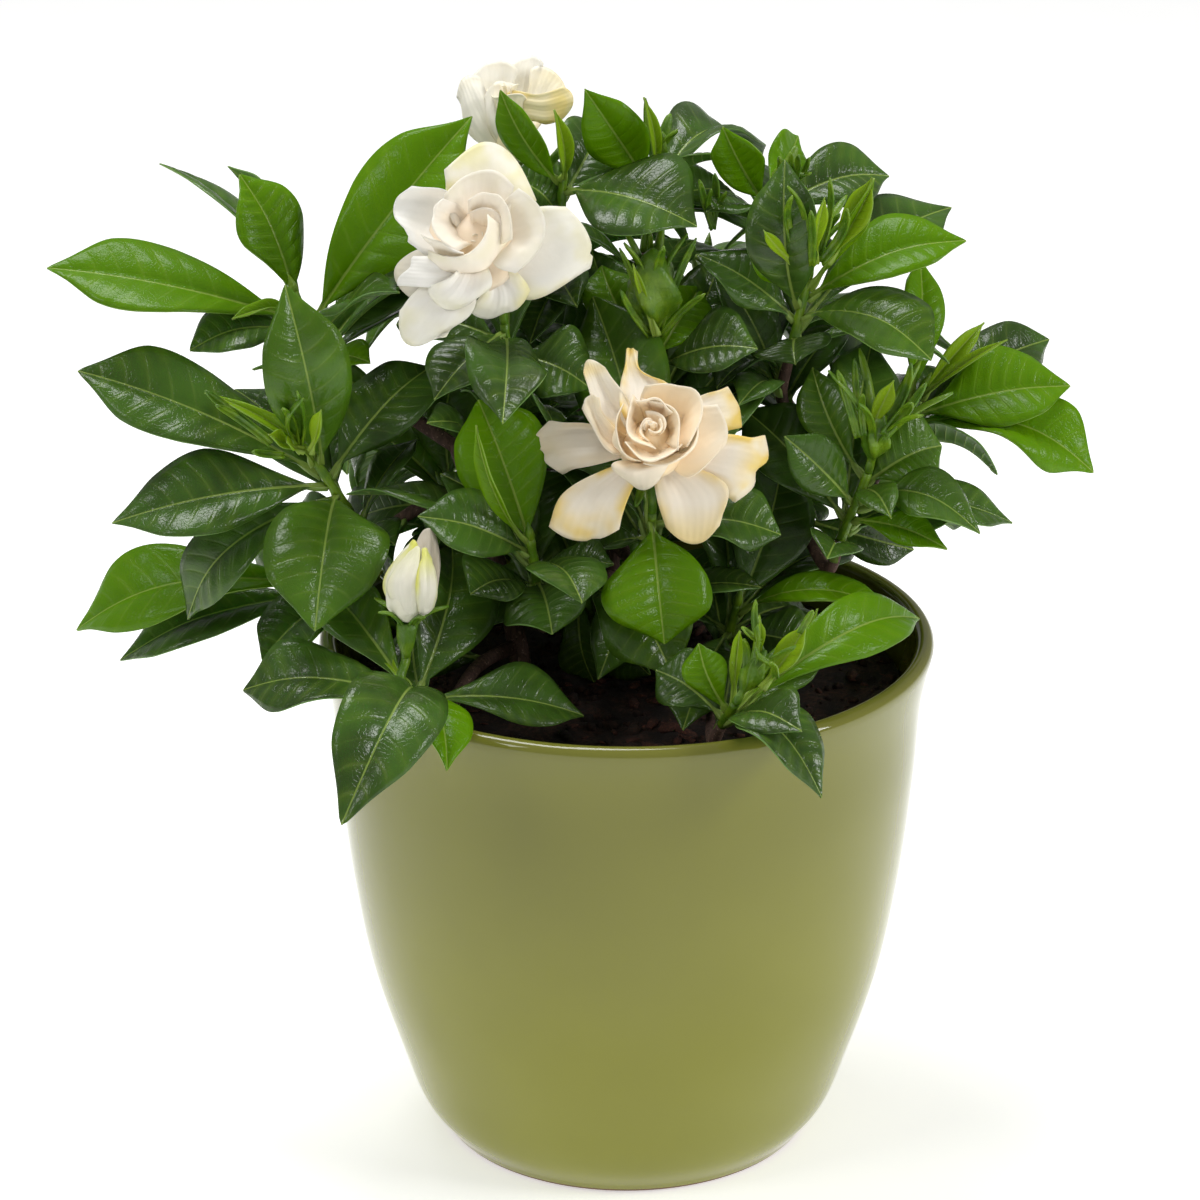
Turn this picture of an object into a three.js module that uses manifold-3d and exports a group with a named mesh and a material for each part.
// A gardenia in a round glazed pot: pot, soil, woody stems, leafy shoots, buds and three double blooms.
// Millimetres, +Z up, with the origin under the middle of the pot.
import * as THREE from 'three';
import { mergeVertices } from 'three/addons/utils/BufferGeometryUtils.js';
import Module from 'manifold-3d';

const wasm = await Module();
wasm.setup();

// Pot
const POT_HEIGHT = 183;
const WALL = 6.2;
const FLOOR = 9;
const FOOT_RADIUS = 63.5;
const RIM_RADIUS = 105;
const POT_SEGMENTS = 34;

// Soil
const SOIL_TOP = 164;
const SOIL_ROUGHNESS = 2.2;
const GAP = 0.3;

// Stems
const TRUNK_RADIUS = 4.2;
const BRANCH_RADIUS = 2.4;
const SHOOT_RADIUS = 1.7;
const ROOT_DEPTH = 22;
const GREEN_LENGTH = 28;
const FIRST_LEAF = 3;
const LEAF_STEP = 1.9;
const WHORL_STEP = 2.2;
const LEAVES_PER_WHORL = 3;
const BRANCH_RISE = 0.1;
const BRANCH_END = 12;

// Blades
const LEAF_THICKNESS = 1.2;
const PETAL_THICKNESS = 1.2;
const PETIOLE_WIDTH = 2;
const PETIOLE_INSET = 1;
const PETIOLE_SHARE = 0.14;
const LEAF_STATIONS = [0, 0.22, 0.55, 0.8];
const FILL_STATIONS = [0, 0.32, 0.74];
const PETAL_STATIONS = [0, 0.4, 0.7, 0.92];
const HEART_STATIONS = [0, 0.4, 0.8];
const SEPAL_STATIONS = [0];
const PETAL_ROLL = 0.3;
const LEAF_FOLD = 0.28;
const YOUNG_FOLD = 0.7;
const WAVE = 0.1;
const CLEARANCE = 4.6;
const CLEARANCE_OWN = 2.6;
const SAMPLE_ROWS = 15;
const ROW_POINTS = 7;
const CURVE_SAMPLES = 30;

// Blooms and buds
const SEPALS = 5;
const SEPAL_LENGTH = 15;
const SEPAL_WIDTH = 3.4;
const SEPAL_THICKNESS = 1;
const CUP_LENGTH = 10;
const CUP_RADIUS = 3.4;
const LOBE_WIDTH = 4;
const GOLDEN_ANGLE = 2.4;

// Where a leaf crosses another: how far its tip steps towards the viewer, how much more it bows, and how far
// it swings round its base, in degrees
const BENDS = [
  [0, 0, 0], [7, 0, 0], [-7, 0, 0], [0, 0.08, 0], [14, 0, 0], [-14, 0, 0], [7, 0.08, 0], [-7, 0.08, 0],
  [0, 0.16, 0], [21, 0, 0], [-21, 0, 0], [0, 0, 8], [0, 0, -8], [14, 0.16, 0], [-14, 0.16, 0], [28, 0, 0],
  [-28, 0, 0], [0, 0.24, 0], [14, 0.08, 8], [14, 0.08, -8], [-14, 0.08, 8], [-14, 0.08, -8], [0, 0.08, 16],
  [0, 0.08, -16], [36, 0.08, 0], [-36, 0.08, 0], [21, 0.16, 16], [-21, 0.16, 16], [21, 0.16, -16],
  [-21, 0.16, -16],
];

// Leaves that stand by rule: their size, how far they open from the shoot, and the outline that they keep to
const FILL_REACH = [50, 22];
const FILL_WIDTH = [27, 8];
const FILL_OPENING = [0.8, 1.0];
const FILL_TRIES = 18;
const FILL_TOWARDS_VIEWER = 0.25;
const OUTLINE = { across: 605, down: 400, wide: 395, high: 285 };

// The sight that the readings were taken by: a long lens, looking down a little, level with the pot's middle.
const SIGHT_TILT = THREE.MathUtils.degToRad(25.1);
const SIGHT_DISTANCE = 1545;
const SIGHT_FOCAL = 4406.7;
const SIGHT_CENTRE = { across: 626.5, down: 867.3 };
const SIGHT_AIM = 92.7;
const TOWARDS_VIEWER = new THREE.Vector3(0, -Math.cos(SIGHT_TILT), Math.sin(SIGHT_TILT));

const COLOURS = {
  glaze: 0x8b8c4f,
  soil: 0x2a1a10,
  bark: 0x6b5045,
  leaf: 0x2f5a2a,
  bright: 0x4c8a0c,
  young: 0x7ea80a,
  petal: 0xefece4,
};

// A place from where it is seen (pixels across and down) and how near the viewer it is (millimetres).
function seen(across, down, near) {
  const scale = (SIGHT_DISTANCE - near) / SIGHT_FOCAL;
  const x = (across - SIGHT_CENTRE.across) * scale;
  const up = (SIGHT_CENTRE.down - down) * scale;
  return new THREE.Vector3(
    x,
    up * Math.sin(SIGHT_TILT) - near * Math.cos(SIGHT_TILT),
    SIGHT_AIM + up * Math.cos(SIGHT_TILT) + near * Math.sin(SIGHT_TILT),
  );
}

// A leaf by where its tip is seen, how far the tip comes forward of the crown, its width and its facing
function leaf(across, down, forward, width, face, tone = 'dark', bow = 0.1) {
  return { across, down, forward, width, face, tone, bow };
}

// A petal by where its tip is seen, how far along the bloom's axis the tip lies, its width and its bow
function petal(across, down, lift, width, bow = 0.12) {
  return { across, down, lift, width, bow };
}

// Leafy shoots. crown: pixels across and down, and nearness. axis: the way that the shoot points.
// fill: how many more leaves stand behind by the rule of fillLeaves.
const SHOOTS = [
  {
    name: 'left',
    crown: [308, 452, 78],
    axis: [-0.45, -0.25, 0.86],
    fill: 4,
    leaves: [
      leaf(316, 405, 14, 12, [0.3, -0.9, 0.3], 'young'),
      leaf(203, 392, 18, 13, [-0.3, -0.6, 0.7], 'young'),
      leaf(283, 283, 10, 31, [0.15, -0.9, 0.35], 'mid'),
      leaf(75, 370, 2, 34, [-0.1, -0.55, 0.8], 'mid', 0.06),
      leaf(432, 360, -25, 30, [0.2, -0.55, 0.8]),
      leaf(110, 523, 14, 33, [-0.2, -0.65, 0.65]),
      leaf(315, 628, 36, 43, [0.05, -0.8, 0.6], 'mid', 0.14),
      leaf(177, 624, -22, 26, [-0.6, -0.7, 0.3], 'dark', 0.22),
    ],
  },
  {
    name: 'low_left',
    crown: [332, 584, 38],
    axis: [-0.8, -0.1, 0.6],
    fill: 3,
    leaves: [
      leaf(68, 627, 22, 31, [-0.3, -0.5, 0.8], 'bright'),
      leaf(113, 655, -6, 30, [-0.2, -0.4, 0.9]),
      leaf(262, 660, 8, 24, [-0.3, -0.7, 0.6]),
    ],
  },
  {
    name: 'front_left',
    crown: [405, 684, 104],
    axis: [-0.35, -0.4, 0.85],
    green: 12,
    fill: 0,
    leaves: [
      leaf(358, 630, 4, 12, [0, -0.7, 0.7], 'young'),
      leaf(355, 733, 18, 17, [-0.2, -0.6, 0.8], 'bright'),
      leaf(448, 771, 26, 21, [0.45, -0.7, 0.6], 'bright', 0.2),
      leaf(240, 688, -2, 30, [-0.2, -0.5, 0.85]),
      leaf(342, 825, 22, 34, [-0.1, -0.9, 0.35], 'dark', 0.24),
      leaf(295, 625, -26, 25, [-0.1, -0.5, 0.8], 'mid'),
      leaf(585, 715, -4, 28, [0.1, -0.35, 0.95]),
      leaf(455, 540, -38, 34, [0.45, -0.75, 0.45]),
    ],
  },
  {
    name: 'centre_left',
    crown: [530, 538, 92],
    axis: [-0.1, -0.35, 0.93],
    fill: 2,
    leaves: [
      leaf(475, 425, 28, 15, [-0.5, -0.6, 0.5], 'young'),
      leaf(477, 398, 4, 33, [0, -0.8, 0.6], 'bright', 0.05),
      leaf(419, 512, 24, 28, [-0.2, -0.6, 0.75]),
      leaf(582, 597, 28, 27, [0.3, -0.8, 0.5]),
      leaf(345, 485, -18, 26, [-0.1, 0.1, 1]),
      leaf(614, 562, 20, 25, [0.3, -0.35, 0.9]),
      leaf(552, 632, 22, 30, [0, -0.8, 0.6]),
      leaf(470, 590, -20, 28, [-0.3, -0.3, 0.9]),
    ],
  },
  {
    name: 'centre',
    crown: [652, 512, 88],
    axis: [0.02, -0.3, 0.95],
    fill: 3,
    leaves: [
      leaf(665, 645, 38, 43, [0, -0.78, 0.62], 'bright', 0.14),
      leaf(783, 530, 18, 29, [0.25, -0.45, 0.88]),
      leaf(590, 290, -28, 35, [-0.05, -0.9, 0.4], 'mid', 0.04),
      leaf(585, 560, -20, 28, [-0.3, -0.3, 1]),
    ],
  },
  {
    name: 'bloom_left',
    crown: [503, 322, 84],
    axis: [-0.1, -0.1, 0.99],
    fill: 3,
    leaves: [
      leaf(432, 397, 22, 28, [-0.3, -0.7, 0.65]),
      leaf(503, 415, 26, 28, [0.1, -0.8, 0.6]),
      leaf(392, 318, -12, 27, [-0.2, -0.3, 0.95]),
      leaf(592, 385, -6, 28, [0.2, -0.5, 0.85]),
    ],
  },
  {
    name: 'upper_left',
    crown: [292, 290, 62],
    axis: [-0.35, 0.1, 0.93],
    fill: 3,
    leaves: [
      leaf(240, 170, 12, 28, [0.5, -0.75, 0.4], 'bright', 0.03),
      leaf(228, 160, -4, 22, [1, 0.1, 0.2]),
      leaf(230, 318, 20, 12, [-0.3, -0.6, 0.7], 'young'),
      leaf(43, 266, 12, 36, [-0.15, -0.5, 0.85], 'bright', 0.06),
      leaf(470, 112, -4, 36, [0.25, -0.6, 0.7], 'bright', 0.08),
      leaf(185, 345, 22, 25, [-0.3, -0.45, 0.85]),
      leaf(397, 288, 22, 28, [0.2, -0.35, 0.95]),
      leaf(157, 158, -26, 24, [-0.2, 0.5, 0.8], 'mid'),
      leaf(432, 248, -34, 28, [0.2, -0.5, 0.85]),
      leaf(368, 360, 12, 16, [0.3, -0.7, 0.6], 'bright'),
    ],
  },
  {
    name: 'middle',
    crown: [655, 348, 70],
    axis: [0, -0.05, 1],
    fill: 3,
    leaves: [
      leaf(700, 285, 16, 20, [0.5, -0.7, 0.4], 'bright', 0.02),
      leaf(600, 262, 4, 20, [-0.4, -0.6, 0.7], 'bright'),
      leaf(757, 345, 18, 28, [0.25, -0.5, 0.85]),
      leaf(525, 312, 6, 26, [-0.1, -0.6, 0.8]),
      leaf(478, 337, -6, 21, [-0.1, 0.05, 1]),
    ],
  },
  {
    name: 'top',
    crown: [562, 168, 73],
    axis: [0.05, -0.18, 0.98],
    fill: 2,
    leaves: [
      leaf(553, 106, 10, 12, [0.2, -0.8, 0.5], 'young'),
      leaf(497, 86, 8, 19, [-0.5, -0.6, 0.6], 'bright'),
      leaf(697, 222, 14, 34, [0.1, -0.55, 0.85]),
      leaf(604, 118, -24, 24, [0.3, -0.5, 0.8]),
    ],
  },
  {
    name: 'top_right',
    crown: [652, 168, 56],
    axis: [0.1, 0.05, 0.99],
    fill: 2,
    leaves: [
      leaf(643, 93, 10, 9, [0.2, -0.8, 0.5], 'young'),
      leaf(585, 88, 4, 22, [-0.2, -0.85, 0.5], 'bright', 0.03),
      leaf(737, 150, 8, 22, [0.1, 0.25, 0.95], 'mid'),
      leaf(735, 185, -10, 27, [0.2, -0.4, 0.9]),
    ],
  },
  {
    name: 'right_top',
    crown: [768, 192, 62],
    axis: [0.1, 0.1, 0.98],
    fill: 3,
    leaves: [
      leaf(722, 124, 6, 18, [-0.4, -0.8, 0.5], 'bright', 0.03),
      leaf(802, 128, 6, 17, [0.4, -0.8, 0.5], 'bright', 0.03),
      leaf(892, 168, -14, 27, [0.2, -0.4, 0.9]),
      leaf(705, 205, -26, 26, [-0.3, -0.2, 0.95]),
    ],
  },
  {
    name: 'right_upper',
    crown: [808, 278, 76],
    axis: [0.2, -0.05, 0.97],
    fill: 2,
    leaves: [
      leaf(875, 175, 8, 14, [0.5, -0.7, 0.5], 'young', 0.03),
      leaf(752, 228, 8, 17, [-0.4, -0.6, 0.7], 'bright'),
      leaf(967, 232, 6, 29, [0.15, -0.4, 0.9], 'bright', 0.08),
      leaf(785, 155, -8, 30, [-0.1, -0.8, 0.55]),
      leaf(935, 352, 24, 35, [0.25, -0.5, 0.85], 'bright', 0.14),
      leaf(697, 250, -2, 24, [-0.2, -0.4, 0.9]),
      leaf(955, 198, -36, 28, [0.3, -0.3, 0.9]),
      leaf(795, 362, 4, 28, [-0.2, -0.7, 0.7]),
    ],
  },
  {
    name: 'right_far',
    crown: [922, 388, 40],
    axis: [0.45, 0, 0.89],
    fill: 3,
    leaves: [
      leaf(1008, 337, 12, 8, [0.2, -0.6, 0.8], 'young'),
      leaf(985, 320, 4, 14, [0.3, -0.7, 0.6], 'young'),
      leaf(925, 250, -2, 17, [0.4, -0.8, 0.5], 'bright'),
      leaf(1072, 380, 16, 33, [0.2, -0.5, 0.85], 'bright', 0.08),
      leaf(1052, 333, -20, 27, [0.2, -0.4, 0.9]),
      leaf(1100, 467, 8, 27, [0.4, -0.5, 0.8], 'bright', 0.16),
      leaf(1002, 468, -2, 30, [-0.3, 0.6, 0.7]),
    ],
  },
  {
    name: 'right',
    crown: [868, 472, 76],
    axis: [0.3, -0.2, 0.93],
    fill: 2,
    leaves: [
      leaf(812, 365, 2, 18, [-0.3, -0.85, 0.4], 'bright'),
      leaf(945, 442, 30, 27, [0.2, -0.7, 0.7], 'bright'),
      leaf(890, 512, 28, 14, [0, -0.7, 0.7], 'mid'),
      leaf(985, 528, 16, 24, [0.2, -0.5, 0.85], 'bright', 0.14),
      leaf(785, 435, 14, 19, [-0.3, -0.6, 0.7], 'mid'),
      leaf(1018, 515, -14, 25, [0.3, -0.4, 0.85], 'mid'),
      leaf(948, 545, 4, 12, [0.2, -0.6, 0.7], 'bright'),
      leaf(742, 405, -26, 29, [-0.2, -0.5, 0.85]),
      leaf(960, 500, -30, 30, [0.2, -0.2, 1]),
    ],
  },
  {
    name: 'low_right',
    crown: [737, 604, 62],
    axis: [0.2, -0.2, 0.95],
    green: 15,
    fill: 2,
    leaves: [
      leaf(892, 608, 16, 27, [0.1, -0.35, 0.95], 'bright', 0.16),
      leaf(785, 445, -14, 31, [0.25, -0.8, 0.5], 'dark', 0.03),
      leaf(858, 548, -26, 24, [0.1, -0.1, 1]),
      leaf(682, 728, 20, 25, [-0.3, -0.75, 0.6]),
      leaf(640, 590, -16, 28, [-0.2, -0.3, 0.95]),
      leaf(815, 650, -6, 26, [0.2, -0.5, 0.85]),
    ],
  },
  {
    name: 'front_right',
    crown: [735, 704, 118],
    axis: [0.25, -0.62, 0.74],
    green: 15,
    fill: 0,
    leaves: [
      leaf(740, 630, 2, 9, [-0.2, -0.8, 0.5], 'young'),
      leaf(818, 608, -4, 13, [0.5, -0.7, 0.5], 'young'),
      leaf(697, 643, 0, 15, [-0.4, -0.7, 0.6], 'bright'),
      leaf(928, 611, -28, 33, [0.15, -0.65, 0.75], 'bright', 0.08),
      leaf(822, 797, 18, 29, [0.5, -0.7, 0.5], 'dark', 0.22),
      leaf(800, 722, 16, 22, [0.2, -0.6, 0.8]),
      leaf(825, 660, 0, 12, [0.2, -0.6, 0.8], 'mid'),
      leaf(655, 668, -22, 22, [-0.2, -0.5, 0.85]),
    ],
  },
];

// Shoots inside and behind, which no reading shows: a crown's place, its way and its leaves by the rule
const HIDDEN_SHOOTS = [
  { name: 'inner_left', place: [-62, 22, 226], axis: [-0.5, -0.1, 0.85], fill: 5, seed: 64 },
  { name: 'inner_front', place: [-14, -16, 206], axis: [-0.1, -0.4, 0.9], fill: 5, seed: 67 },
  { name: 'inner_middle', place: [16, 30, 232], axis: [0.2, -0.2, 0.95], fill: 6, seed: 74 },
  { name: 'back_left', place: [-82, 62, 248], axis: [-0.5, 0.5, 0.7], fill: 6, seed: 11 },
  { name: 'back_low', place: [-28, 92, 212], axis: [-0.2, 0.85, 0.5], fill: 6, seed: 23 },
  { name: 'back_middle', place: [-28, 92, 272], axis: [-0.1, 0.6, 0.8], fill: 6, seed: 37 },
  { name: 'back_right', place: [68, 78, 242], axis: [0.5, 0.6, 0.6], fill: 6, seed: 41 },
  { name: 'back_top', place: [28, 82, 292], axis: [0.1, 0.5, 0.86], fill: 6, seed: 53 },
];

// Woody stems: where each stands in the soil, how it rises, and which shoots it carries from what share of it
const STEMS = [
  {
    name: 'woody_stem_left',
    rise: [[-36, -4, 170], [-44, 2, 205], [-58, 6, 248]],
    carries: {
      left: 0.75, low_left: 0.3, front_left: 0.1, upper_left: 0.98, bloom_left: 0.85, inner_left: 0.5,
    },
  },
  {
    name: 'woody_stem_middle',
    rise: [[-2, 4, 170], [-4, 10, 205], [-2, 24, 266]],
    carries: {
      centre_left: 0.3, centre: 0.42, middle: 0.85, top_right: 0.98, inner_front: 0.15, inner_middle: 0.5,
    },
  },
  {
    name: 'woody_stem_right',
    rise: [[33, 20, 170], [42, 28, 205], [58, 30, 244]],
    carries: {
      right: 0.7, right_upper: 0.9, right_far: 0.8, right_top: 0.98, low_right: 0.2, front_right: 0.08,
    },
  },
  {
    name: 'woody_stem_back',
    rise: [[2, 50, 170], [2, 60, 200], [3, 68, 246]],
    carries: {
      back_left: 0.5, back_low: 0.25, back_middle: 0.85, back_right: 0.55, back_top: 0.98, top: 0.92,
    },
  },
];

// Blooms. shoot: what carries each. stands: where the petals meet. heart: petals wound round the axis inside.
const BLOOMS = [
  {
    name: 'left',
    shoot: 'bloom_left',
    stands: [478, 245, 112],
    axis: [-0.05, -0.8, 0.6],
    petals: [
      petal(492, 139, 1, 31, 0.1),
      petal(595, 254, 0, 31, 0.1),
      petal(500, 317, -3, 21, 0.14),
      petal(404, 338, -4, 24, 0.14),
      petal(392, 280, -1, 17, 0.12),
      petal(394, 203, 1, 23, 0.12),
      petal(536, 206, 9, 24, 0.04),
      petal(438, 307, 6, 20, 0.08),
      petal(470, 166, 10, 24, 0.02),
      petal(418, 246, 9, 17, 0.04),
    ],
    heart: { count: 3, height: 17, width: 19, radius: 8 },
  },
  {
    name: 'centre',
    shoot: 'centre',
    stands: [650, 453, 106],
    axis: [0, -0.62, 0.78],
    petals: [
      petal(578, 534, -7, 26, 0.16),
      petal(702, 540, -7, 22, 0.16),
      petal(768, 474, -3, 24, 0.12),
      petal(742, 400, 2, 19, 0.1),
      petal(630, 348, 4, 15, 0.04),
      petal(588, 361, 4, 17, 0.04),
      petal(531, 447, -3, 17, 0.14),
      petal(728, 432, 8, 24, 0.06),
      petal(640, 490, 4, 21, 0.14),
      petal(586, 398, 9, 15, 0.02),
      petal(678, 383, 11, 22, 0),
    ],
    heart: { count: 4, height: 19, width: 21, radius: 10 },
  },
  {
    name: 'top',
    shoot: 'top',
    stands: [512, 158, 45],
    axis: [-0.1, 0.1, 0.99],
    petals: [
      petal(458, 84, 27.5, 24, -0.08),
      petal(474, 62, 33, 21, -0.02),
      petal(508, 56, 34, 25, 0),
      petal(541, 58, 32.5, 23, 0),
      petal(567, 96, 14, 25, 0.16),
      petal(530, 110, 16, 22, 0.12),
      petal(486, 98, 24, 23, 0),
    ],
    heart: { count: 1, height: 22, width: 17, radius: 6 },
  },
];

// Green buds. top: where the body's tip is seen. lobes stand round the body, spread by a share of its length.
const BUDS = [
  { shoot: 'middle', top: [652, 246, 88], girth: 17, lobes: 5, reach: 1.16, spread: 0.26 },
  { shoot: 'right_upper', top: [818, 222, 84], girth: 8, lobes: 6, reach: 1.5, spread: 0.65 },
  { shoot: 'right', top: [883, 412, 90], girth: 9, lobes: 6, reach: 1.6, spread: 0.8 },
  { shoot: 'front_right', top: [766, 650, 124], girth: 7, lobes: 4, reach: 1.4, spread: 0.4 },
  { shoot: 'top_right', top: [662, 128, 66], girth: 6, lobes: 3, reach: 1.3, spread: 0.3 },
  { shoot: 'right_top', top: [792, 160, 72], girth: 6, lobes: 3, reach: 1.2, spread: 0.4 },
  { shoot: 'left', top: [298, 424, 84], girth: 7, lobes: 4, reach: 1.3, spread: 0.6 },
];

// The opening white bud on the front shoot: its green calyx below and the wound petals above
const WHITE_BUD = { shoot: 'front_left', foot: [408, 622, 108], top: [412, 540, 118], girth: 19 };

// Meshes and solids
function toSolid(geometry) {
  geometry.deleteAttribute('normal');
  geometry.deleteAttribute('uv');
  const merged = mergeVertices(geometry, 1e-4);
  const positions = merged.attributes.position.array;
  const index = Uint32Array.from(merged.index.array);
  if (signedVolume(positions, index) < 0) {
    for (let i = 0; i < index.length; i += 3) {
      [index[i], index[i + 1]] = [index[i + 1], index[i]];
    }
  }
  return new wasm.Manifold(
    new wasm.Mesh({ numProp: 3, vertProperties: Float32Array.from(positions), triVerts: index }),
  );
}

function signedVolume(positions, index) {
  const corner = (i) => new THREE.Vector3().fromArray(positions, index[i] * 3);
  let total = 0;
  for (let i = 0; i < index.length; i += 3) {
    total += corner(i).dot(corner(i + 1).cross(corner(i + 2)));
  }
  return total;
}

function meshGeometry(positions, index) {
  const geometry = new THREE.BufferGeometry();
  geometry.setAttribute('position', new THREE.Float32BufferAttribute(positions, 3));
  geometry.setIndex(index);
  return geometry;
}

function toGeometry(solid) {
  const mesh = solid.getMesh();
  const geometry = meshGeometry(mesh.vertProperties, Array.from(mesh.triVerts));
  geometry.computeVertexNormals();
  return geometry;
}

// Joined solids as one body: hollows that the joining seals are filled, and loose scraps are dropped
function fuse(solids) {
  const mesh = solids.reduce((whole, next) => whole.add(next)).getMesh();
  const leader = Array.from({ length: mesh.vertProperties.length / 3 }, (_, i) => i);
  const lead = (i) => {
    let at = i;
    while (leader[at] !== at) {
      leader[at] = leader[leader[at]];
      at = leader[at];
    }
    return at;
  };
  const index = mesh.triVerts;
  for (let i = 0; i < index.length; i += 3) {
    leader[lead(index[i])] = lead(index[i + 1]);
    leader[lead(index[i + 1])] = lead(index[i + 2]);
  }
  const shells = new Map();
  for (let i = 0; i < index.length; i += 3) {
    const key = lead(index[i]);
    shells.set(key, [...(shells.get(key) ?? []), index[i], index[i + 1], index[i + 2]]);
  }
  const volume = (shell) => signedVolume(mesh.vertProperties, shell);
  const outer = [...shells.values()].reduce((best, shell) => (volume(shell) > volume(best) ? shell : best));
  return toSolid(meshGeometry(mesh.vertProperties, outer));
}

// Seeded draws between 0 and 1
function draws(seed) {
  let state = seed;
  return () => {
    state = (state * 16807) % 2147483647;
    return state / 2147483647;
  };
}

function curveThrough(points) {
  return new THREE.CatmullRomCurve3(points, false, 'centripetal');
}

// A round stem along a smooth curve through points
function stem(points, radius, sides = 4, steps = 3) {
  const corners = Array.from({ length: sides }, (_, i) => {
    const angle = (i / sides) * Math.PI * 2;
    return new THREE.Vector2(radius * Math.cos(angle), radius * Math.sin(angle));
  });
  const options = { steps, bevelEnabled: false, extrudePath: curveThrough(points) };
  return toSolid(new THREE.ExtrudeGeometry(new THREE.Shape(corners), options));
}

// A turned body with its foot at base, pointing along axis; profile holds radius and height
function turned(profile, segments, base, axis) {
  const points = profile.map(([radius, height]) => new THREE.Vector2(radius, height));
  const geometry = new THREE.LatheGeometry(points, segments);
  geometry.applyQuaternion(new THREE.Quaternion().setFromUnitVectors(new THREE.Vector3(0, 1, 0), axis));
  geometry.translate(base.x, base.y, base.z);
  return toSolid(geometry);
}

// A blade's middle line is a quadratic curve from base to tip, and its upper face looks along normal
function blade(base, tip, face, width, bow, outline, options = {}) {
  const chord = tip.clone().sub(base);
  const length = chord.length();
  const along = chord.clone().normalize();
  const looks = face.clone().normalize();
  const normal = looks.clone().addScaledVector(along, -looks.dot(along)).normalize();
  const bend = base.clone().lerp(tip, 0.5).addScaledVector(normal, bow * 2 * length);
  return { base, bend, tip, normal, width, outline, fold: 0, cup: 0, wave: 0, phase: 0, ...options };
}

function leafOutline(s) {
  const u = Math.min(1, Math.max(0, (s - PETIOLE_SHARE) / (1 - PETIOLE_SHARE)));
  return Math.pow(Math.max(0, Math.sin(Math.PI * Math.pow(u, 1.15))), 0.9);
}

function petalOutline(s) {
  return Math.pow(Math.max(0, Math.sin(Math.PI * Math.pow(s, 1.45))), 0.62);
}

function sepalOutline(s) {
  return Math.sin(Math.PI * (0.3 + 0.7 * s));
}

// A point of the blade's middle surface, s along it from 0 to 1 and x across it from -1 to 1
function bladePoint(shape, s, x, lift = 0) {
  const point = shape.base.clone().multiplyScalar((1 - s) * (1 - s));
  point.addScaledVector(shape.bend, 2 * s * (1 - s)).addScaledVector(shape.tip, s * s);
  const along = shape.bend.clone().sub(shape.base).multiplyScalar(1 - s);
  along.addScaledVector(shape.tip.clone().sub(shape.bend), s).normalize();
  const normal = shape.normal.clone().addScaledVector(along, -shape.normal.dot(along)).normalize();
  const side = along.clone().cross(normal);
  const half = Math.max(PETIOLE_WIDTH / 2, (shape.width / 2) * shape.outline(s));
  const rise = half * (Math.sin(shape.fold) * Math.abs(x) + shape.cup * x * x);
  const ripple = half * shape.wave * x * x * Math.sin(9 * s + shape.phase + 1.3 * x);
  point.addScaledVector(side, half * x * Math.cos(shape.fold));
  return point.addScaledVector(normal, rise + ripple + lift);
}

// The closed blade, thickest along its middle. Both faces share its margins, split into triangles alike.
function bladeSolid(shape, stations, thickness) {
  const positions = [];
  const index = [];
  for (const s of stations) {
    const lift = (thickness / 2) * (s > 0 ? 1 : 1.2);
    for (const [x, rise] of [[-1, 0], [0, lift], [1, 0], [0, -lift]]) {
      positions.push(...bladePoint(shape, s, x, rise).toArray());
    }
  }
  positions.push(...shape.tip.toArray());
  const loop = 4;
  const tip = stations.length * loop;
  for (let ring = 0; ring < stations.length; ring += 1) {
    for (let k = 0; k < loop; k += 1) {
      const a = ring * loop + k;
      const b = ring * loop + ((k + 1) % loop);
      if (ring === stations.length - 1) {
        index.push(a, b, tip);
      } else if (k < loop / 2) {
        index.push(a, b, b + loop, a, b + loop, a + loop);
      } else {
        index.push(a, b, a + loop, b, b + loop, a + loop);
      }
    }
  }
  index.push(0, 2, 1, 0, 3, 2);
  return toSolid(meshGeometry(positions, index));
}

// Everything that has been placed, as points by node, so that later leaves can be bent clear of it
const placed = [];

function bladeSamples(shape, from = 0.2) {
  const points = [];
  for (let i = 0; i <= SAMPLE_ROWS; i += 1) {
    for (let j = -3; j <= 3; j += 1) {
      points.push(bladePoint(shape, from + ((1 - from) * i) / SAMPLE_ROWS, j / 3));
    }
  }
  return points;
}

function remember(node, points, girth = 0) {
  placed.push({ node, points, girth, ball: new THREE.Sphere().setFromPoints(points) });
}

function rememberCurve(node, points, girth) {
  remember(node, curveThrough(points).getPoints(CURVE_SAMPLES), girth);
}

// The room between a point and the pot's wall or the soil
function potRoom(point) {
  const radius = Math.hypot(point.x, point.y);
  const beside = Math.max(RIM_RADIUS - WALL - 4 - radius, radius - RIM_RADIUS);
  const above = point.z - POT_HEIGHT;
  const wall = above > 0 ? Math.hypot(above, Math.max(0, beside)) : beside;
  return radius < RIM_RADIUS ? Math.min(wall, point.z - SOIL_TOP - SOIL_ROUGHNESS) : wall;
}

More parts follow.
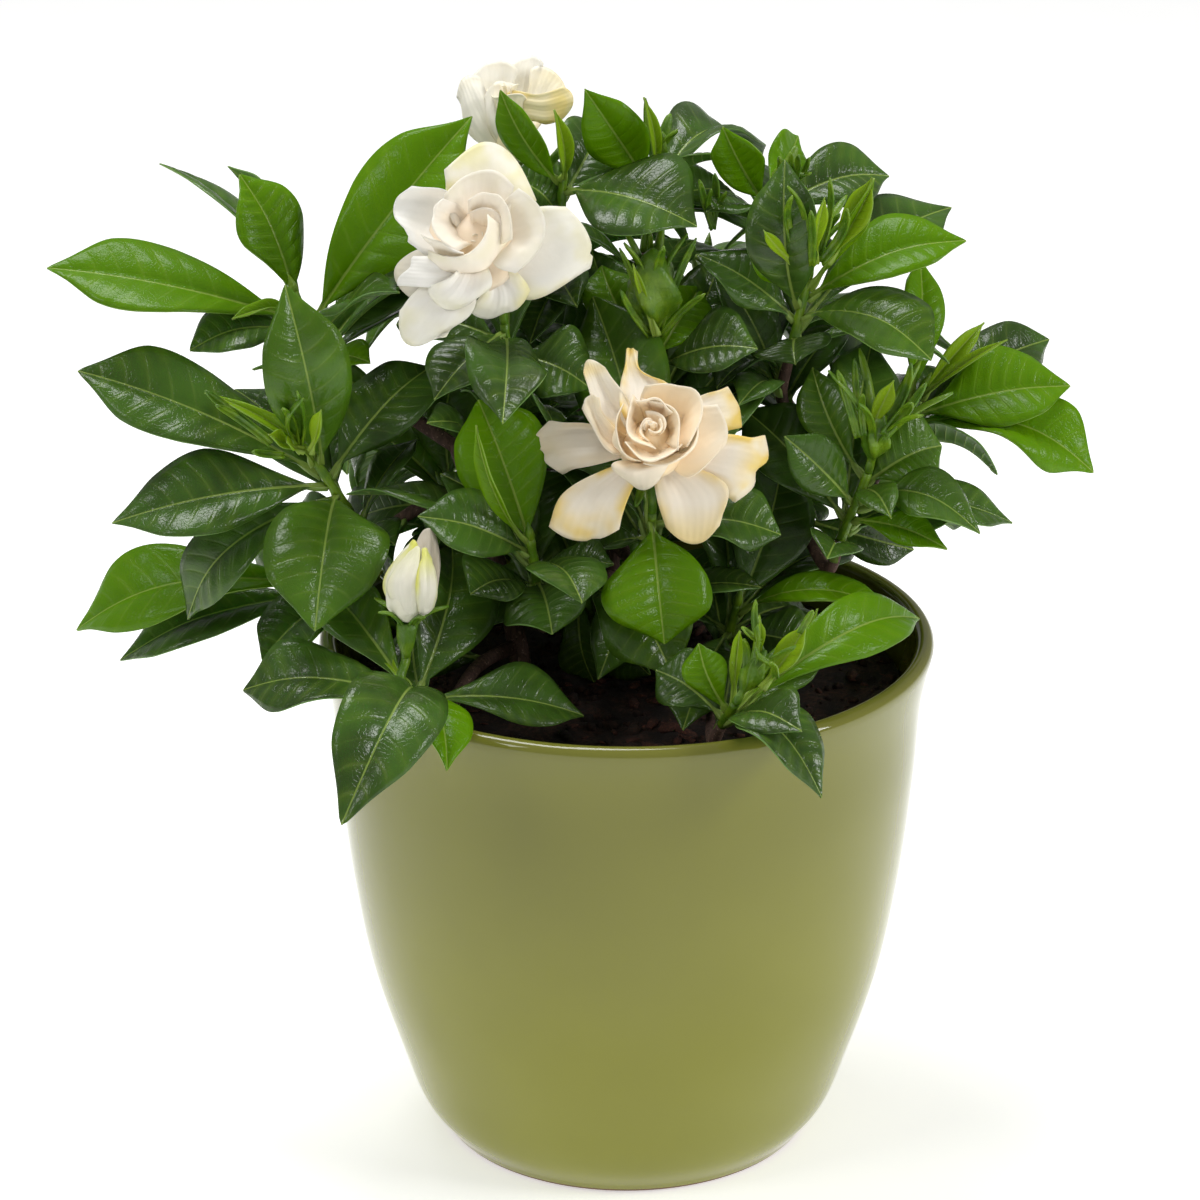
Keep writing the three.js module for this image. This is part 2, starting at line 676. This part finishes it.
// The share of the wanted room that points have from all that is placed; a shoot's own leaves may come nearer
function roomAround(node, points) {
  const ball = new THREE.Sphere().setFromPoints(points);
  let least = 10;
  for (const point of points) {
    least = Math.min(least, potRoom(point) / CLEARANCE);
  }
  for (const other of placed) {
    if (ball.center.distanceTo(other.ball.center) < ball.radius + other.ball.radius + CLEARANCE) {
      const own = other.node === node;
      const wanted = own ? CLEARANCE_OWN : CLEARANCE;
      const mine = own ? points.slice(3 * ROW_POINTS) : points;
      const theirs = own ? other.points.slice(5 * ROW_POINTS) : other.points;
      for (const p of mine) {
        for (const q of theirs) {
          least = Math.min(least, (p.distanceTo(q) - other.girth) / wanted);
        }
      }
    }
  }
  return least;
}

// The first of the bends that clears all else, or the one that comes closest to it
function settle(node, make) {
  let best = null;
  for (const [step, bow, swing] of BENDS) {
    const shape = make(step, bow, THREE.MathUtils.degToRad(swing));
    const room = roomAround(node, bladeSamples(shape));
    if (!best || room > best.room) {
      best = { shape, room };
    }
    if (room > 1) {
      break;
    }
  }
  return best;
}

const group = new THREE.Group();

function addNode(name, solid, colour, roughness) {
  const material = new THREE.MeshStandardMaterial({ color: colour, roughness, metalness: 0 });
  const mesh = new THREE.Mesh(toGeometry(solid), material);
  mesh.name = name;
  group.add(mesh);
}

// The pot's wall: a spline up the outside, a round lip and a parallel inside
function potProfile() {
  const outside = new THREE.SplineCurve([
    new THREE.Vector2(FOOT_RADIUS + 2.4, 3),
    new THREE.Vector2(72.6, 12),
    new THREE.Vector2(79.5, 31),
    new THREE.Vector2(89, 62),
    new THREE.Vector2(95.4, 98),
    new THREE.Vector2(99.3, 134),
    new THREE.Vector2(101.4, 162),
    new THREE.Vector2(RIM_RADIUS, POT_HEIGHT - WALL / 2),
  ]).getPoints(7);
  const lip = new THREE.Path()
    .absarc(RIM_RADIUS - WALL / 2, POT_HEIGHT - WALL / 2, WALL / 2, 0, Math.PI, false)
    .getPoints(3)
    .slice(1);
  const inside = outside
    .filter((point, i) => i % 2 === 0 && point.y > FLOOR + 4 && point.y < POT_HEIGHT - WALL)
    .map((point) => new THREE.Vector2(point.x - WALL, point.y))
    .reverse();
  return {
    outside: [new THREE.Vector2(0, 0), new THREE.Vector2(FOOT_RADIUS, 0), ...outside, ...lip],
    inside: [...inside, new THREE.Vector2(inside[inside.length - 1].x - 4, FLOOR)],
  };
}

function addPot() {
  const { outside, inside } = potProfile();
  const profile = [...outside, ...inside, new THREE.Vector2(0, FLOOR)];
  const geometry = new THREE.LatheGeometry(profile, POT_SEGMENTS).rotateX(Math.PI / 2);
  addNode('planter', toSolid(geometry), COLOURS.glaze, 0.12);
}

// The soil fills the pot, with an uneven top and a plain hole for each woody stem
function addSoil(holes) {
  const draw = draws(7);
  const { inside } = potProfile();
  const wall = inside.filter((point) => point.y < SOIL_TOP).reverse();
  const edge = new THREE.Vector2(wall[wall.length - 1].x - GAP, SOIL_TOP);
  const profile = [
    new THREE.Vector2(0, FLOOR + GAP),
    ...wall.map((point) => new THREE.Vector2(point.x - GAP, Math.max(point.y, FLOOR + GAP))),
    edge,
    ...[0.75, 0.5, 0.25].map((share) => new THREE.Vector2(edge.x * share, SOIL_TOP)),
    new THREE.Vector2(0, SOIL_TOP),
  ];
  const geometry = new THREE.LatheGeometry(profile, POT_SEGMENTS / 2).rotateX(Math.PI / 2);
  geometry.deleteAttribute('normal');
  geometry.deleteAttribute('uv');
  const merged = mergeVertices(geometry, 1e-3);
  const position = merged.attributes.position;
  for (let i = 0; i < position.count; i += 1) {
    if (position.getZ(i) > SOIL_TOP - 1) {
      position.setZ(i, position.getZ(i) + (draw() * 2 - 1) * SOIL_ROUGHNESS);
    }
  }
  addNode('soil', holes.reduce((whole, hole) => whole.subtract(hole), toSolid(merged)), COLOURS.soil, 1);
}

// Where a shoot stands: its crown, its way and the foot of its green stem
function layShoot(shoot) {
  const crown = shoot.crown ? seen(...shoot.crown) : new THREE.Vector3(...shoot.place);
  const axis = new THREE.Vector3(...shoot.axis).normalize();
  const green = shoot.green ?? GREEN_LENGTH;
  const foot = crown.clone().addScaledVector(axis, -green);
  return { ...shoot, crown, axis, green, foot, node: `shoot_${shoot.name}` };
}

function leafBase(shoot, i) {
  const drop = FIRST_LEAF + LEAF_STEP * i + WHORL_STEP * Math.floor(i / LEAVES_PER_WHORL);
  return shoot.crown.clone().addScaledVector(shoot.axis, -Math.min(drop, shoot.green - 3));
}

// Two ways across an axis, by which whorls are set out
function crossways(axis) {
  const side = new THREE.Vector3(0, 0, 1).cross(axis).normalize();
  return { side, ahead: axis.clone().cross(side) };
}

// A leaf from just under the green stem's skin to tip
function leafBlade(shoot, base, tip, spec, i) {
  const way = tip.clone().sub(base).projectOnPlane(shoot.axis).setLength(PETIOLE_INSET);
  const options = { fold: spec.tone === 'young' ? YOUNG_FOLD : LEAF_FOLD, wave: WAVE, phase: i * 1.7 };
  const shape = blade(base.clone().add(way), tip, spec.face, spec.width, spec.bow, leafOutline, options);
  return { ...shape, stations: spec.stations ?? LEAF_STATIONS };
}

// The leaves that a reading places
function seenLeaves(shoot) {
  const nearness = nearnessOf(shoot.crown);
  return (shoot.leaves ?? []).map((spec, i) => {
    const base = leafBase(shoot, i);
    const { shape } = settle(shoot.node, (step, bow, swing) => {
      const tip = seen(spec.across, spec.down, nearness + spec.forward + step);
      tip.sub(base).applyAxisAngle(TOWARDS_VIEWER, swing).add(base);
      const face = new THREE.Vector3(...spec.face);
      return leafBlade(shoot, base, tip, { ...spec, face, bow: spec.bow + bow }, i);
    });
    remember(shoot.node, bladeSamples(shape, 0.05));
    return shape;
  });
}

function nearnessOf(point) {
  return point.clone().sub(new THREE.Vector3(0, 0, SIGHT_AIM)).dot(TOWARDS_VIEWER);
}

// Whether a point is seen inside the plant's outline
function insideOutline(point) {
  const near = nearnessOf(point);
  const zoom = SIGHT_FOCAL / (SIGHT_DISTANCE - near);
  const up = point.y * Math.sin(SIGHT_TILT) + (point.z - SIGHT_AIM) * Math.cos(SIGHT_TILT);
  const across = (SIGHT_CENTRE.across + zoom * point.x - OUTLINE.across) / OUTLINE.wide;
  const down = (SIGHT_CENTRE.down - zoom * up - OUTLINE.down) / OUTLINE.high;
  return across * across + down * down < 1;
}

// The rest of a shoot's leaves stand round it by the golden angle, wherever there is room for them
function fillLeaves(shoot, order) {
  const draw = draws(shoot.seed ?? 100 + order);
  const { side, ahead } = crossways(shoot.axis);
  const first = (shoot.leaves ?? []).length;
  const shapes = [];
  for (let i = 0; i < FILL_TRIES && shapes.length < shoot.fill; i += 1) {
    const angle = i * GOLDEN_ANGLE + draw() * 0.4;
    const opening = FILL_OPENING[0] + FILL_OPENING[1] * draw();
    const reach = FILL_REACH[0] + FILL_REACH[1] * draw();
    const width = FILL_WIDTH[0] + FILL_WIDTH[1] * draw();
    const bow = 0.08 + 0.08 * draw();
    const way = shoot.axis.clone().multiplyScalar(Math.cos(opening));
    way.addScaledVector(side, Math.cos(angle) * Math.sin(opening));
    way.addScaledVector(ahead, Math.sin(angle) * Math.sin(opening));
    const base = leafBase(shoot, first + shapes.length);
    const goal = base.clone().addScaledVector(way, reach);
    const hidden = shoot.seed || way.dot(TOWARDS_VIEWER) < FILL_TOWARDS_VIEWER;
    if (!hidden || !insideOutline(goal)) {
      continue;
    }
    const face = shoot.axis.clone().add(new THREE.Vector3(0, 0, 0.6));
    const { shape, room } = settle(shoot.node, (step, moreBow, swing) => {
      const tip = goal.clone().addScaledVector(shoot.axis, step * 0.8);
      tip.sub(base).applyAxisAngle(shoot.axis, swing * 2).add(base);
      return leafBlade(shoot, base, tip, { face, width, bow: bow + moreBow, stations: FILL_STATIONS }, i);
    });
    if (room > 1) {
      remember(shoot.node, bladeSamples(shape, 0.05));
      shapes.push(shape);
    }
  }
  return shapes;
}

// A shoot's green runs from the dark of old leaves to the bright of new ones, by the share of each on it
function shootColour(shoot) {
  const tones = (shoot.leaves ?? []).map((spec) => spec.tone);
  const fresh = tones.filter((tone) => tone !== 'dark').length / Math.max(1, tones.length);
  return new THREE.Color(COLOURS.leaf).lerp(new THREE.Color(COLOURS.bright), fresh);
}

function addShoot(shoot, order) {
  const shapes = [...shoot.seen, ...fillLeaves(shoot, order)];
  const solids = shapes.map((shape) => bladeSolid(shape, shape.stations, LEAF_THICKNESS));
  const middle = shoot.foot.clone().lerp(shoot.crown, 0.5);
  const green = stem([shoot.foot, middle, shoot.crown], SHOOT_RADIUS, 5, 1);
  addNode(shoot.node, fuse([green, ...solids]), shootColour(shoot), 0.35);
}

// A branch leaves the trunk and comes up behind the shoot in the shoot's own way
function branchRoute(rise, share, shoot) {
  const fork = curveThrough(rise).getPointAt(share);
  const end = shoot.foot.clone().addScaledVector(shoot.axis, -GAP);
  const before = end.clone().addScaledVector(shoot.axis, -Math.min(BRANCH_END, fork.distanceTo(end) / 3));
  const middle = fork.clone().lerp(before, 0.5);
  middle.z += BRANCH_RISE * fork.distanceTo(before);
  return [fork, middle, before, end];
}

function layStem(spec, shoots) {
  const rise = spec.rise.map((point) => new THREE.Vector3(...point));
  const trunk = [rise[0].clone().setZ(SOIL_TOP - ROOT_DEPTH), ...rise];
  rememberCurve(spec.name, trunk, TRUNK_RADIUS - BRANCH_RADIUS);
  const branches = Object.entries(spec.carries).map(([name, share]) => {
    const shoot = shoots.find((item) => item.name === name);
    const route = branchRoute(rise, share, shoot);
    rememberCurve(spec.name, route);
    rememberCurve(shoot.node, [shoot.foot, shoot.foot.clone().lerp(shoot.crown, 0.5), shoot.crown]);
    return route;
  });
  return { ...spec, trunk, branches };
}

function trunkSolid(laid, radius) {
  return stem(laid.trunk, radius, 6, 5);
}

function addStem(laid) {
  const branches = laid.branches.map((route) => stem(route, BRANCH_RADIUS));
  addNode(laid.name, fuse([trunkSolid(laid, TRUNK_RADIUS), ...branches]), COLOURS.bark, 0.9);
}

// The nearness at which a place seen at across and down lies lift along axis from base
function nearnessAt(across, down, base, axis, lift) {
  const liftAt = (near) => seen(across, down, near).sub(base).dot(axis);
  return (lift - liftAt(0)) / (liftAt(1) - liftAt(0));
}

// A bloom's petals: those that a reading places, and the heart, wound round the axis
function petalShapes(bloom) {
  const base = seen(...bloom.stands);
  const axis = new THREE.Vector3(...bloom.axis).normalize();
  const { side, ahead } = crossways(axis);
  const outer = bloom.petals.map((spec, i) => {
    const near = nearnessAt(spec.across, spec.down, base, axis, spec.lift);
    const tip = seen(spec.across, spec.down, near);
    const way = tip.clone().sub(base).projectOnPlane(axis).normalize();
    const raised = 2 + 0.3 * Math.max(0, spec.lift);
    const foot = base.clone().addScaledVector(axis, raised).addScaledVector(way, 2.5);
    const face = axis.clone().addScaledVector(axis.clone().cross(way), PETAL_ROLL);
    const options = { cup: 0.12, wave: WAVE, phase: i * 2.1 };
    const shape = blade(foot, tip, face, spec.width, spec.bow, petalOutline, options);
    return { ...shape, stations: PETAL_STATIONS };
  });
  const { count, height, width, radius } = bloom.heart;
  const heart = Array.from({ length: count }, (_, i) => {
    const angle = i * GOLDEN_ANGLE;
    const way = side.clone().multiplyScalar(Math.cos(angle)).addScaledVector(ahead, Math.sin(angle));
    const out = radius * (1 - (0.75 * i) / count);
    const foot = base.clone().addScaledVector(axis, 3).addScaledVector(way, out * 0.25);
    const tip = base.clone().addScaledVector(axis, height + i).addScaledVector(way, out);
    const face = way.clone().multiplyScalar(-1).addScaledVector(axis.clone().cross(way), PETAL_ROLL);
    const narrow = width * (1 - (0.45 * i) / count);
    const shape = blade(foot, tip, face, narrow, -0.12, petalOutline, { cup: 0.6 });
    return { ...shape, stations: HEART_STATIONS };
  });
  return { base, axis, shapes: [...outer, ...heart] };
}

// Petals, and under them a green calyx on its stalk from the shoot's crown
function addBloom(bloom, shoots) {
  const { base, axis, shapes } = petalShapes(bloom);
  const petals = `petals_${bloom.name}`;
  shapes.forEach((shape) => remember(petals, bladeSamples(shape, 0.1)));
  const core = turned([[0, 0], [4, 1], [5, 5], [0, 10]], 8, base, axis);
  const blades = shapes.map((shape) => bladeSolid(shape, shape.stations, PETAL_THICKNESS));
  addNode(petals, fuse([core, ...blades]), COLOURS.petal, 0.6);

  const shoot = shoots.find((item) => item.name === bloom.shoot);
  const top = base.clone().addScaledVector(axis, -GAP);
  const cup = top.clone().addScaledVector(axis, -CUP_LENGTH);
  const foot = shoot.crown.clone().addScaledVector(shoot.axis, GAP);
  const start = foot.clone().addScaledVector(shoot.axis, Math.min(8, foot.distanceTo(cup) / 3));
  const calyx = `calyx_${bloom.name}`;
  const neck = [-3, 3].map((step) => cup.clone().addScaledVector(axis, step));
  const route = [foot, start, ...neck];
  rememberCurve(calyx, route);
  const body = turned([[0, 0], [SHOOT_RADIUS, 0], [CUP_RADIUS, CUP_LENGTH], [0, CUP_LENGTH]], 6, cup, axis);
  const { side, ahead } = crossways(axis);
  const sepals = Array.from({ length: SEPALS }, (_, i) => {
    const angle = ((i + 0.5) / SEPALS) * Math.PI * 2;
    const way = side.clone().multiplyScalar(Math.cos(angle)).addScaledVector(ahead, Math.sin(angle));
    const from = cup.clone().addScaledVector(axis, 7);
    const tip = from.clone().addScaledVector(way, SEPAL_LENGTH).addScaledVector(axis, -7);
    const shape = blade(from, tip, axis, SEPAL_WIDTH, 0, sepalOutline);
    remember(calyx, bladeSamples(shape));
    return bladeSolid(shape, SEPAL_STATIONS, SEPAL_THICKNESS);
  });
  addNode(calyx, fuse([stem(route, SHOOT_RADIUS, 5), body, ...sepals]), COLOURS.young, 0.5);
}

// A spindle with narrow lobes round it, from foot to top
function budBody(foot, top, girth, stalk) {
  const axis = top.clone().sub(foot);
  const length = axis.length();
  axis.normalize();
  const profile = [
    [0, 0], [1.2, 0.6], [SHOOT_RADIUS, 2], [SHOOT_RADIUS, length * stalk],
    [girth / 2, length * (0.4 * stalk + 0.5)], [girth * 0.3, length * 0.86], [0, length],
  ];
  return { axis, length, solid: turned(profile, 6, foot, axis) };
}

function budLobes(node, foot, axis, length, spec) {
  const { side, ahead } = crossways(axis);
  return Array.from({ length: spec.lobes }, (_, i) => {
    const angle = ((i + 0.3) / spec.lobes) * Math.PI * 2;
    const way = side.clone().multiplyScalar(Math.cos(angle)).addScaledVector(ahead, Math.sin(angle));
    const from = foot.clone().addScaledVector(axis, length * 0.4);
    const tip = foot.clone().addScaledVector(axis, length * spec.reach);
    tip.addScaledVector(way, length * spec.spread);
    const shape = blade(from, tip, way, LOBE_WIDTH, 0, sepalOutline);
    remember(node, bladeSamples(shape));
    return bladeSolid(shape, SEPAL_STATIONS, SEPAL_THICKNESS);
  });
}

function addBud(spec, shoots) {
  const shoot = shoots.find((item) => item.name === spec.shoot);
  const node = `bud_${spec.shoot}`;
  const foot = shoot.crown.clone().addScaledVector(shoot.axis, GAP);
  const { axis, length, solid } = budBody(foot, seen(...spec.top), spec.girth, 0.22);
  rememberCurve(node, [foot, foot.clone().addScaledVector(axis, length / 2), seen(...spec.top)]);
  addNode(node, fuse([solid, ...budLobes(node, foot, axis, length, spec)]), COLOURS.young, 0.5);
}

function addWhiteBud(shoots) {
  const shoot = shoots.find((item) => item.name === WHITE_BUD.shoot);
  const foot = seen(...WHITE_BUD.foot);
  const top = seen(...WHITE_BUD.top);
  const { axis, length, solid } = budBody(foot, top, WHITE_BUD.girth, 0.1);
  const { side, ahead } = crossways(axis);
  const petals = [1.2, 4.4].map((angle) => {
    const way = side.clone().multiplyScalar(Math.cos(angle)).addScaledVector(ahead, Math.sin(angle));
    const from = foot.clone().addScaledVector(axis, 3);
    const tip = foot.clone().addScaledVector(axis, length * 1.04).addScaledVector(way, 2.5);
    const face = way.clone().multiplyScalar(-1).addScaledVector(axis.clone().cross(way), 0.25);
    const shape = blade(from, tip, face, WHITE_BUD.girth * 0.95, -0.2, petalOutline, { cup: 0.5 });
    return bladeSolid(shape, HEART_STATIONS, PETAL_THICKNESS);
  });
  rememberCurve('petals_bud', [foot, foot.clone().lerp(top, 0.5), top]);
  addNode('petals_bud', fuse([solid, ...petals]), COLOURS.petal, 0.5);

  const stalkFoot = shoot.crown.clone().addScaledVector(shoot.axis, GAP);
  const stalkTop = foot.clone().addScaledVector(axis, -GAP);
  const cup = stalkTop.clone().addScaledVector(axis, -CUP_LENGTH);
  const start = stalkFoot.clone().addScaledVector(shoot.axis, 3);
  const neck = [-3, 3].map((step) => cup.clone().addScaledVector(axis, step));
  const route = [stalkFoot, start, ...neck];
  rememberCurve('calyx_bud', route);
  const body = turned([[0, 0], [SHOOT_RADIUS, 0], [CUP_RADIUS, CUP_LENGTH], [0, CUP_LENGTH]], 6, cup, axis);
  const lobes = Array.from({ length: SEPALS }, (_, i) => {
    const angle = ((i + 0.2) / SEPALS) * Math.PI * 2;
    const way = side.clone().multiplyScalar(Math.cos(angle)).addScaledVector(ahead, Math.sin(angle));
    const from = cup.clone().addScaledVector(axis, 5);
    const tip = from.clone().addScaledVector(way, SEPAL_LENGTH).addScaledVector(axis, 12);
    return bladeSolid(blade(from, tip, way, SEPAL_WIDTH, 0, sepalOutline), SEPAL_STATIONS, SEPAL_THICKNESS);
  });
  addNode('calyx_bud', fuse([stem(route, SHOOT_RADIUS, 5), body, ...lobes]), COLOURS.young, 0.5);
}

const shoots = [...SHOOTS, ...HIDDEN_SHOOTS].map(layShoot);
const stems = STEMS.map((spec) => layStem(spec, shoots));
addPot();
addSoil(stems.map((laid) => trunkSolid(laid, TRUNK_RADIUS + GAP)));
stems.forEach(addStem);
BLOOMS.forEach((bloom) => addBloom(bloom, shoots));
BUDS.forEach((bud) => addBud(bud, shoots));
addWhiteBud(shoots);
shoots.forEach((shoot) => {
  shoot.seen = seenLeaves(shoot);
});
shoots.forEach(addShoot);

export default group;
